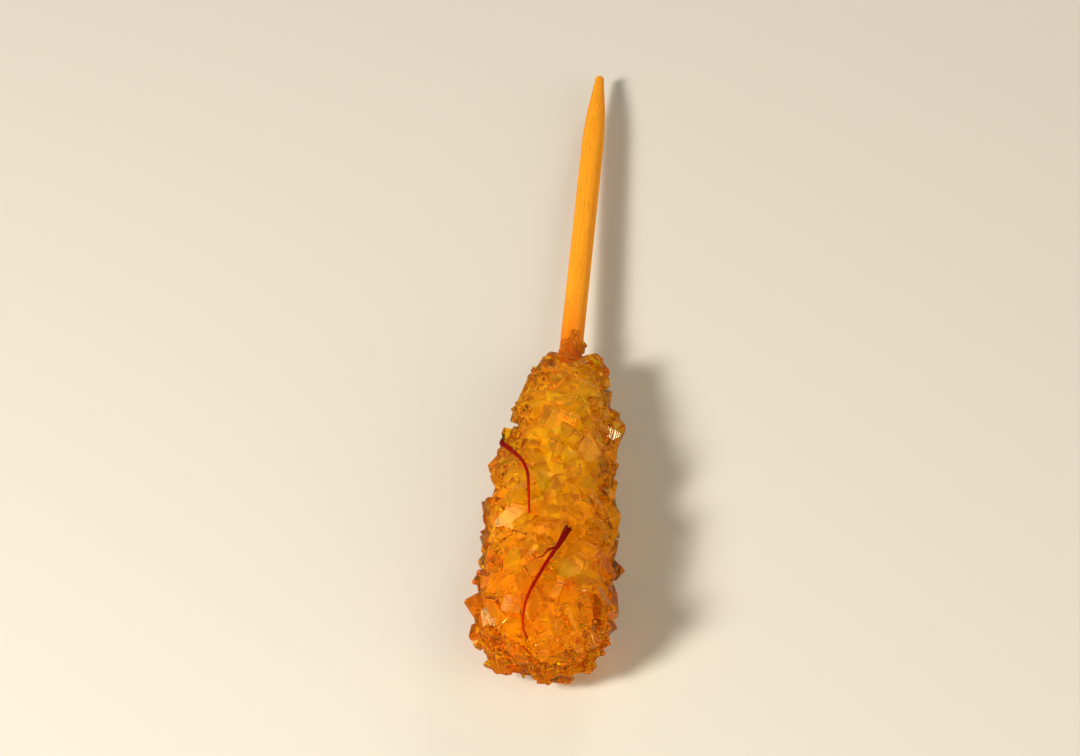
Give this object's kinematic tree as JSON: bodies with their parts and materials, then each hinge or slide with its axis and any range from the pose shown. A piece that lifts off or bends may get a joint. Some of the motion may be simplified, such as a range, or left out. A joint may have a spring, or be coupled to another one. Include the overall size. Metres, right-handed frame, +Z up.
{
  "type": "rock candy stick",
  "caption": "Amber rock candy crystals with saffron threads, grown round the end of a pointed wooden stick that is bare at its other end; it lies on its side.",
  "frame": {"origin": "centre of the whole part's bounding box in X and Y, on the table plane under it", "axes": "+Y along the stick from the candy's outer end to the bare point, which dips 2.6 degrees; +Z up from the table; +X to the right, looking along +Y"},
  "size_m": [0.0258, 0.1458, 0.0212],
  "materials": {
    "sugar": "clear amber sugar with sharp, glossy crystal faces",
    "wood": "plain pale wood, unvarnished",
    "saffron": "dry deep red saffron"
  },
  "bodies": {
    "root": {"crystals": "sugar", "stick": "wood"}
  },
  "joints": []
}
